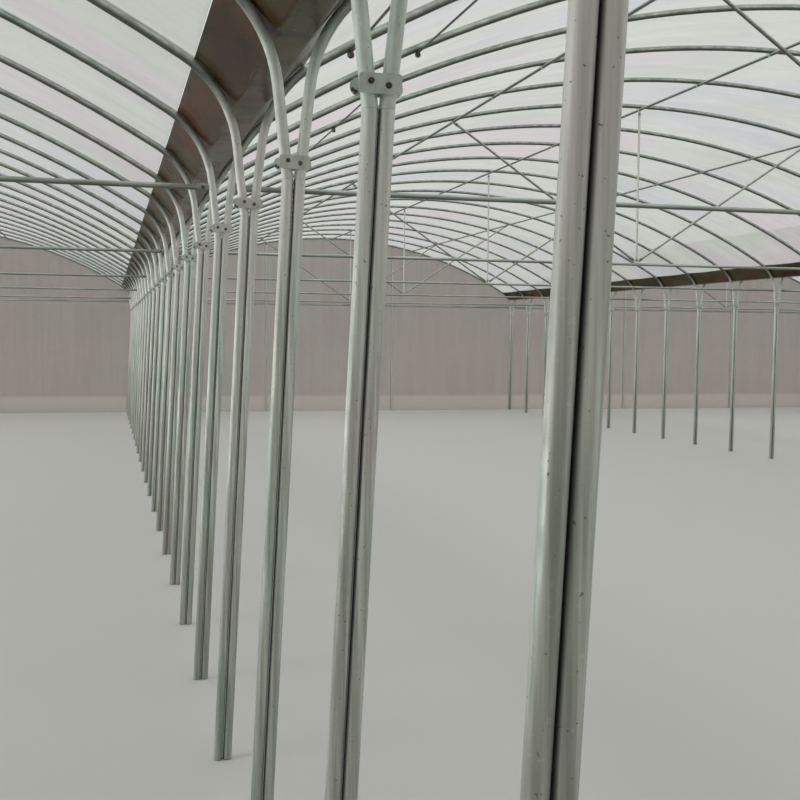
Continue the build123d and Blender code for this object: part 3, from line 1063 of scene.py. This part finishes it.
def film(name, rows, pale, shade, tints, clear, veil, glow, tube_shadow, streak, wrinkle_scale,
         wrinkle_height, foot=0.0):
    """Cloudy film between a pale colour and a shade, with four tints over it. A share called clear goes
    straight through and is dimmed by the veil, and of the rest glow is the share that is scattered. A
    row is an axis, a pitch and a first place of the tubes that it lies on: there the film gets a
    painted shadow, as dark as its number says, and a painted highlight beside it. Streak is the scale
    and turn of its long marks. A film on the ground has a pale foot."""
    material, tree, output, places = new_finish(name)
    base = colours(tree, noise(tree, places, 0.9, 3.0, 0.5), (0.35, shade), (0.6, pale))
    tint_field = noise(tree, scaled(tree, places, (0.45, 1, 0.45)), 0.8, 1.0, 0.4)
    tint = colours(tree, tint_field, *zip((0.36, 0.46, 0.54, 0.62), tints))
    base = mixed(tree, 0.55, base, tint, "MULTIPLY")
    streaks = noise(tree, scaled(tree, places, *streak), 1.0, 4.0, 0.62)
    base = mixed(tree, ranged(tree, streaks, 0.0, 0.55, 0.50, 0.70), base, toned(shade, 0.86))
    base = mixed(tree, ranged(tree, streaks, 0.45, 0.0, 0.30, 0.46), base, toned(pale, 1.08))
    base = marked(tree, base, places, DUST, (14.0, 4.0, 0.7), 0.16, (0.5, 0.75))
    if foot:
        strip = ranged(tree, part_of(tree, places, "Z"), 1.0, 0.0, foot * 0.8, foot)
        base = mixed(tree, strip, base, toned(pale, 1.35))
    for row in rows:
        # A painted highlight beside each tube.
        tube_side_highlight = near_rows(tree, places, *row, 0.030, 0.120)
        base = mixed(tree, ranged(tree, tube_side_highlight, 0.0, 0.25, 0.0, 1.0), base, toned(pale, 1.25))
        # A painted shadow where the film lies on a tube.
        tube_shadow_mask = near_rows(tree, places, *row, 0.012, 0.028)
        base = mixed(tree, tube_shadow_mask, base, (tube_shadow, tube_shadow, tube_shadow), "MULTIPLY")
    wrinkles = noise(tree, scaled(tree, places, wrinkle_scale), 1.0, 3.0, 0.55)
    normal = bumped(tree, wrinkles, wrinkle_height, 0.6)
    surface = node(tree, "BsdfPrincipled", {"Base Color": base, "Roughness": FILM_SHEEN, "Normal": normal})
    through = node(tree, "BsdfTranslucent", {"Color": base, "Normal": normal})
    open_air = node(tree, "BsdfTransparent", {"Color": (*veil, 1)})
    cloud = node(tree, "MixShader", {"Fac": glow, 1: surface.outputs[0], 2: through.outputs[0]})
    whole = node(tree, "MixShader", {"Fac": clear, 1: cloud.outputs[0], 2: open_air.outputs[0]})
    tree.links.new(whole.outputs[0], output.inputs["Surface"])
    return material


# %% Roof and wall films
DOOR_POST = 1.33
ONE_ROW_ONLY = 40.0
ARCH_ROWS = [("Y", ARCH_PITCH, 0.0)]
# Rows of the gable's door posts and rail, where the gable film gets a painted shadow and highlight.
POST_ROWS = [
    ("X", span_width, DOOR_POST),
    ("X", span_width, -DOOR_POST),
    ("Z", ONE_ROW_ONLY, TIE_HEIGHT),
]
ROOF_LOOK = {
    "pale": (0.795, 0.80, 0.785),
    "shade": (0.72, 0.725, 0.71),
    "tints": ((1.00, 0.80, 0.92), (0.88, 1.00, 0.84), (1.00, 0.98, 0.88), (0.84, 0.89, 1.00)),
    "clear": 0.26,
    "veil": (0.86, 0.865, 0.855),
    "glow": 0.52,
    "tube_shadow": 0.37,
    "streak": ((1.6, 6.0, 1.6), (0, 0, 0.45)),
    "wrinkle_scale": (3, 9, 3),
    "wrinkle_height": 0.01,
}
# The wall films are the roof film with painted shade: darker, greyer colours and a darker veil.
SHADED_WALL_LOOK = {
    "pale": (0.46, 0.42, 0.39),
    "shade": (0.43, 0.39, 0.362),
    "tints": ((0.98, 0.93, 0.92), (0.97, 0.95, 0.93), (0.98, 0.96, 0.94), (0.95, 0.95, 0.96)),
    "clear": 0.30,
    "veil": (0.40, 0.365, 0.34),
    "glow": 0.35,
    "tube_shadow": 0.55,
    "streak": ((5.0, 5.0, 0.30), (0, 0, 0)),
    "wrinkle_scale": (9, 9, 2.5),
    "wrinkle_height": 0.02,
    "foot": 0.35,
}

roof_cloud = film("roof_cloud", ARCH_ROWS, **ROOF_LOOK)
side_cloud = film("side_cloud", ARCH_ROWS, **SHADED_WALL_LOOK)
gable_cloud = film("gable_cloud", POST_ROWS, **SHADED_WALL_LOOK)
print("three films mixed")

# %% [markdown]
# ## Roof film
#
# The film is stretched from channel to channel over the arches. It is tight, but between two arches
# it still dips about a centimetre. A cloth simulation could find that dip, but film that is drawn
# tight over a frame has only one shape, so the dip is given. We spin one long edge over the roof, as
# we spun the arch, with the edge divided four times in each metre. The rows that lie between two
# arches are then drawn a little towards the centre of the roof curve. The film is left as a single
# sheet: it has no thickness to see.

# %% Roof film
SAG = 0.012
CUTS_A_METRE = 4
FILM_STEPS = 48
FILM_SKIN = 0.0005

metres = arch_count - 1
length_cuts = CUTS_A_METRE * metres - 1
film_radius = roof_radius + TUBE_RADIUS + SEAT + FILM_SKIN
film_low, film_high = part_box("middle_span_roof_film")
film_edge = math.asin(film_high.x / (film_radius + FILM_SOLID - FILM_SKIN))
film_flat = (2 * film_edge * film_radius, film_high.y - film_low.y)
print("roof film", [round(size, 3) for size in film_flat], "m flat")

edge_x, edge_z = film_radius * math.sin(film_edge), roof_z + film_radius * math.cos(film_edge)
roof_sheet = long_edge(film_low.y, film_high.y, edge_x, edge_z)
bpy.ops.mesh.subdivide(number_cuts=length_cuts)
bpy.ops.mesh.select_all(action="SELECT")
spin(2 * film_edge, 0, roof_z, FILM_STEPS)
for share, depth in ((0.5, SAG), (0.25, SAG * 0.7), (0.75, SAG * 0.7)):
    select_where(roof_sheet, lambda p: abs((p.y - film_low.y) / film_flat[1] * metres % 1 - share) < 0.01)
    squeeze = 1 - depth / film_radius
    bpy.ops.transform.resize(value=(squeeze, 1, squeeze), center_override=(0, 0, roof_z))
tidy_skin()
leave()
smooth(roof_sheet, 60)
roof_sheets = in_each_span(roof_sheet, "stretched_roof_film", roof_cloud, "roof_film", "roof_film")

# %% [markdown]
# ## Side films and gables
#
# The two long sides are closed by a film that hangs from the channel over the shoulder to the ground.
# It is drawn in a little between the legs. A gable is a flat sheet in the outline of the span. To give
# it real wrinkles it needs vertices inside its outline, so we draw half the outline as a chain of
# edges, from the ground up to the ridge, and draw that chain across the span in many even steps. The
# two end arches of a valley leave a narrow corner between their splayed feet, which the film fills.

# %% Wall film helpers
from mathutils import noise as folds

GROUND_GAP = 0.001


def pull_folds(piece, depth, direction, held, seed):
    """Draw the vertices of a sheet inwards by a slow noise, and not at all where it is held."""
    for vertex in piece.data.vertices:
        at = vertex.co
        wave = folds.noise(Vector((at.x * 0.9 + seed, at.y * 0.9, at.z * 0.45)))
        crease = folds.noise(Vector((at.x * 4.1, at.y * 4.1 + seed, at.z * 0.8 + seed)))
        pull = max(0.0, 0.5 + 0.8 * wave + 0.35 * crease)
        vertex.co = at + Vector(direction) * depth * pull * held(at)


def bend_start(offset):
    """Where the tube starts to bend, this far outside its middle line."""
    return Vector((foot_top.x + offset * math.cos(SPLAY), BEND_START + offset * math.sin(SPLAY)))


def push_up_wall(offset, sign, steps):
    """Push a sheet's lower edge up a leg in even steps, and then along the splayed foot to the bend."""
    knee = splice_height + offset * math.tan(SPLAY / 2)
    for step in range(steps):
        push(z=(knee - GROUND_GAP) / steps)
    bend = bend_start(offset)
    push(x=sign * (bend.x - leg_distance - offset), z=bend.y - knee)


# %% Side films
SIDE_STEPS = 14
SIDE_BEND_STEPS = 10
SIDE_FOLD = 0.012


def held_by_legs(at):
    """No folds at a leg or over its top, and full ones between two legs."""
    between = abs(math.sin(math.pi * (at.y - first_row) / ARCH_PITCH))
    return between * min(1.0, max(0.0, (2.1 - at.z) / 0.4))


side_low, side_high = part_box("right_side_film")
film_face = TUBE_RADIUS + SEAT + FILM_SKIN
out_of_bend = Vector((math.sin(roof_slope), math.cos(roof_slope)))
bend_end = Vector((bend_x, bend_z)) + (BEND_RADIUS + film_face) * out_of_bend
to_channel = on_eave(LIP_REACH, SEAT + FILM_SKIN) - bend_end

for side, sign in SIDES:
    sheet = long_edge(side_low.y, side_high.y, sign * (leg_distance + film_face), GROUND_GAP)
    bpy.ops.mesh.subdivide(number_cuts=length_cuts)
    bpy.ops.mesh.select_all(action="SELECT")
    push_up_wall(film_face, sign, SIDE_STEPS)
    spin(sign * shoulder_turn, sign * bend_x, bend_z, SIDE_BEND_STEPS)
    push(x=sign * to_channel.x, z=to_channel.y)
    tidy_skin()
    leave()
    pull_folds(sheet, SIDE_FOLD, (-sign, 0, 0), held_by_legs, 3.0 + sign)
    sheet = move(sheet, span_x[side])
    smooth(sheet, 60)
    finish(sheet, f"{side}_hanging_side_film", side_cloud, "wall_film", f"{side}_side_film")

# %% Outline of a gable
GABLE_WALL_STEPS = 12
GABLE_BEND_STEPS = 8
GABLE_ROOF_STEPS = 24


def gable_chain():
    """The right half of a gable's outline, from the foot to the ridge, as a chain of edges."""
    chain = primitive(bpy.ops.mesh.primitive_plane_add, size=0.1)
    edit(chain)
    bpy.ops.mesh.merge(type="CENTER")
    bpy.ops.transform.translate(value=(leg_distance + TUBE_RADIUS, 0, GROUND_GAP))
    push_up_wall(TUBE_RADIUS, 1, GABLE_WALL_STEPS)
    spin(shoulder_turn, bend_x, bend_z, GABLE_BEND_STEPS)
    spin(roof_slope, 0, roof_z, GABLE_ROOF_STEPS)
    bpy.ops.mesh.select_all(action="SELECT")
    return chain


# %% A gable sheet
GABLE_CUTS = 50
GABLE_MESH = span_width / GABLE_CUTS + 0.01
GABLE_FOLD = 0.016
FIRST_PUSH = 0.001


def held_by_gable(at):
    """No folds on the outline, on the two posts and on the rail, and soft ones between."""
    to_frame = (
        leg_distance - abs(at.x),
        abs(abs(at.x) - DOOR_POST),
        abs(at.z - TIE_HEIGHT),
        roof_z + math.sqrt(roof_radius ** 2 - at.x ** 2) - at.z,
    )
    return math.prod(min(1.0, max(0.0, (distance - GABLE_MESH) / 0.35)) for distance in to_frame)


def gable_sheet(span, seed, inwards):
    """The chain drawn across the span in even steps, then creased. Each step starts with a small push,
    and its vertices are then set on the span's outline, which leans as its legs do."""
    shifts = []
    for side, sign in SIDES:
        low, high = leg_boxes[span, side]
        shifts.append(low.x + high.x - 2 * (span_x[span] + sign * leg_distance))
    sheet = gable_chain()
    reach = {round(v.co.z, 4): v.co.x for v in bmesh.from_edit_mesh(sheet.data).verts}
    for step in range(GABLE_CUTS + 1):
        if step:
            push(x=-FIRST_PUSH)
        mesh = bmesh.from_edit_mesh(sheet.data)
        for vertex in (v for v in mesh.verts if v.select):
            lean = max(0.0, 1 - vertex.co.z / splice_height)
            width = reach[round(vertex.co.z, 4)]
            right, left = width + shifts[1] * lean, -width + shifts[0] * lean
            vertex.co.x = right + (left - right) * step / GABLE_CUTS
        bmesh.update_edit_mesh(sheet.data)
    tidy_skin()
    leave()
    pull_folds(sheet, GABLE_FOLD, (0, inwards, 0), held_by_gable, seed)
    return sheet


# %% Valley corner and doorway
DOOR_HALF = 1.314
DOOR_TOP = 2.1975
GUTTER_FLOOR = 2.3735
CORNER_DEPTH = 0.055


def fill_valley_corner(sheet, sign):
    """Draw the outline beside a splayed foot out to the middle of the valley, up to the gutter."""
    edit(sheet)
    inner = leg_distance - CORNER_DEPTH
    select_where(sheet, lambda m: sign * m.x > inner and splice_height < m.z < GUTTER_FLOOR, "EDGE")
    push(x=sign * FIRST_PUSH)
    mesh = bmesh.from_edit_mesh(sheet.data)
    for vertex in (v for v in mesh.verts if v.select):
        vertex.co.x = sign * (leg_distance + TUBE_RADIUS)
        vertex.co.z = min(vertex.co.z, GUTTER_FLOOR)
    bmesh.update_edit_mesh(sheet.data)
    tidy_skin()
    leave()


def cut_doorway(sheet):
    """Slit the sheet along the door frame and take the middle out."""
    edit(sheet)
    slits = (
        ((-DOOR_HALF, 0, 0), (1, 0, 0)),
        ((DOOR_HALF, 0, 0), (1, 0, 0)),
        ((0, 0, DOOR_TOP), (0, 0, 1)),
    )
    for place, facing in slits:
        bpy.ops.mesh.select_all(action="SELECT")
        bpy.ops.mesh.bisect(plane_co=place, plane_no=facing)
    select_where(sheet, lambda m: abs(m.x) < DOOR_HALF and m.z < DOOR_TOP, "FACE")
    bpy.ops.mesh.delete(type="FACE")
    leave()


# %% Gable films
ENDS = (("front", -1), ("rear", 1))
VALLEY_SIDES = {"left": [1], "middle": [-1, 1], "right": [-1]}

gable_low, gable_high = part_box("middle_front_gable_film")
gable_y = abs(gable_low.y + gable_high.y) / 2

for end_name, sign in ENDS:
    for number, span in enumerate(SPANS):
        sheet = gable_sheet(span, 7.0 * number + 3.0 * sign, -sign)
        for valley_sign in VALLEY_SIDES[span]:
            fill_valley_corner(sheet, valley_sign)
        if (span, end_name) == ("middle", "front"):
            cut_doorway(sheet)
        sheet = move(sheet, span_x[span], sign * gable_y)
        smooth(sheet, 60)
        name = f"{span}_{end_name}_wrinkled_gable_film"
        finish(sheet, name, gable_cloud, "wall_film", f"{span}_{end_name}_gable_film")

# %% [markdown]
# ## Channels and gable frames
#
# A film is not nailed. Its edge is laid into a shallow metal channel, and a wire bent in a zigzag is
# pressed in over it, which grips the film under two turned lips. The channel is folded like the
# gutter, from one long edge, and the wire is a small ring of four sides that is pushed to and fro. A
# flat strip would do from far away, but from near by the lips and the shadow between them make it a
# channel. It has a cream coat with short streaks. The gables have square posts and rails. They are
# cubes at their real size, with softened edges, because a sharp edge catches no light.

# %% Channel finish
CREAM_STOPS = ((0.3, (0.34, 0.31, 0.25)), (0.5, (0.47, 0.43, 0.35)), (0.7, (0.58, 0.55, 0.47)))
CREAM_SHINE = 0.3


def cream_channel():
    """A cream coat with streaks along the channel."""
    material, tree, output, places = new_finish("cream_channel")
    marks = noise(tree, scaled(tree, places, (40, 4, 40)), 1.0, 4.0, 0.6)
    base = colours(tree, marks, *CREAM_STOPS)
    normal = bumped(tree, marks, 0.0005, 0.4)
    surfaced(tree, output, base, ranged(tree, marks, 0.35, 0.55), normal, CREAM_SHINE)
    return material


channel_cream = cream_channel()
print("channel finish made")

# %% A channel
LOCK_SETBACK = 0.003
LOCK_WIDTH = 0.025
LOCK_DEPTH = 0.012
LOCK_SHEET = 0.0015
LOCK_LIP = 0.005
CHANNEL_BASE = 0.0026

channel_low, channel_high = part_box("middle_span_film_channels")
near, far = LOCK_SETBACK, LOCK_SETBACK + LOCK_WIDTH
rim = CHANNEL_BASE + LOCK_DEPTH - LOCK_SHEET
profile = [
    on_eave(along, above)
    for along, above in (
        (near + LOCK_LIP, rim), (near, rim), (near, CHANNEL_BASE),
        (far, CHANNEL_BASE), (far, rim), (far - LOCK_LIP, rim),
    )
]
channel = long_edge(channel_low.y, channel_high.y, profile[0].x, profile[0].y)
for before, after in zip(profile, profile[1:]):
    push(x=after.x - before.x, z=after.y - before.y)
tidy_skin()
leave()
use(channel, "SOLIDIFY", thickness=LOCK_SHEET, offset=0)
print("channel with", len(channel.data.polygons), "faces")

# %% Its zigzag wire, and all channels
WIRE_RADIUS = 0.0012
WIRE_HALF_WAVE = 0.05
WIRE_MARGIN = 0.004
WIRE_SETBACK = 0.02

wire_level = CHANNEL_BASE + LOCK_SHEET + WIRE_RADIUS + 0.002
wire_sides = [on_eave(along, wire_level) for along in (near + WIRE_MARGIN, far - WIRE_MARGIN)]
half_waves = int((channel_high.y - channel_low.y - 2 * WIRE_SETBACK) / WIRE_HALF_WAVE)
wire_start = (wire_sides[0].x, channel_low.y + WIRE_SETBACK, wire_sides[0].y)
wire = ring(wire_start, (0, 1, 0), WIRE_RADIUS, 4)
edit(wire)
for number in range(half_waves):
    here, there = wire_sides[number % 2], wire_sides[(number + 1) % 2]
    push(x=there.x - here.x, y=WIRE_HALF_WAVE, z=there.y - here.y)
close_ends()
leave()
right_channel = joined([channel, wire])
left_channel = copy_of(right_channel)
edit(left_channel)
bpy.ops.transform.mirror(orient_type="GLOBAL", constraint_axis=(True, False, False),
                         center_override=(0, 0, 0))
bpy.ops.mesh.normals_make_consistent(inside=False)
leave()
channels = joined([right_channel, left_channel])
smooth(channels, 30)
in_each_span(channels, "wired_channels", channel_cream, "channel", "film_channels")

# %% Gable posts and rails
POST_ROUNDING = 0.003
RAIL_ROUNDING = 0.002


def square_tube(low, high, rounding):
    """A square tube between two corners, its edges softened."""
    low, high = Vector(low), Vector(high)
    piece = primitive(bpy.ops.mesh.primitive_cube_add, size=1, location=(low + high) / 2, scale=high - low)
    edit(piece, "EDGE")
    bpy.ops.mesh.bevel(offset=rounding, segments=2, affect="EDGES")
    leave()
    return piece


def square_row(low, high, stretches, rounding):
    """The same stretches of square tube in each span, within the height and depth of a solid's box."""
    tubes = []
    for span in SPANS:
        for start, end in stretches:
            corners = (span_x[span] + start, low.y, low.z), (span_x[span] + end, high.y, high.z)
            tubes.append(square_tube(*corners, rounding))
    row = joined(tubes)
    smooth(row, 30)
    return row


for end_name, sign in ENDS:
    low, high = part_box(f"{end_name}_gable_posts")
    half = (high.y - low.y) / 2
    stretches = [(place - half, place + half) for place in (-DOOR_POST, DOOR_POST)]
    posts = square_row(low, high, stretches, POST_ROUNDING)
    finish(posts, f"{end_name}_square_gable_posts", gable_zinc, "tube", f"{end_name}_gable_posts")
    low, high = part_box(f"{end_name}_gable_rails")
    reach = span_x["left"] - low.x
    inner, outer = DOOR_POST - half - SEAT, DOOR_POST + half + SEAT
    rails = square_row(low, high, [(-reach, -outer), (-inner, inner), (outer, reach)], RAIL_ROUNDING)
    finish(rails, f"{end_name}_square_gable_rails", crossways_zinc, "tube", f"{end_name}_gable_rails")

# %% [markdown]
# ## What the panel lights
#
# The panel of light by the left wall is there for the legs. A list of the pieces that it shall not
# light is kept in a collection: the floor and all films. So it leaves no bright edge on a film that
# is seen from outside.

# %% Keep the panel off the floor and the films
FILM_NAMES = ("stretched_roof_film", "hanging_side_film", "wrinkled_gable_film")

spared = bpy.data.collections.new("spared_by_panel")
panel.light_linking.receiver_collection = spared
spared.objects.link(floor)
for piece in bpy.data.objects:
    if piece.name.endswith(FILM_NAMES):
        spared.objects.link(piece)
for member in spared.collection_objects:
    member.light_linking.link_state = "EXCLUDE"
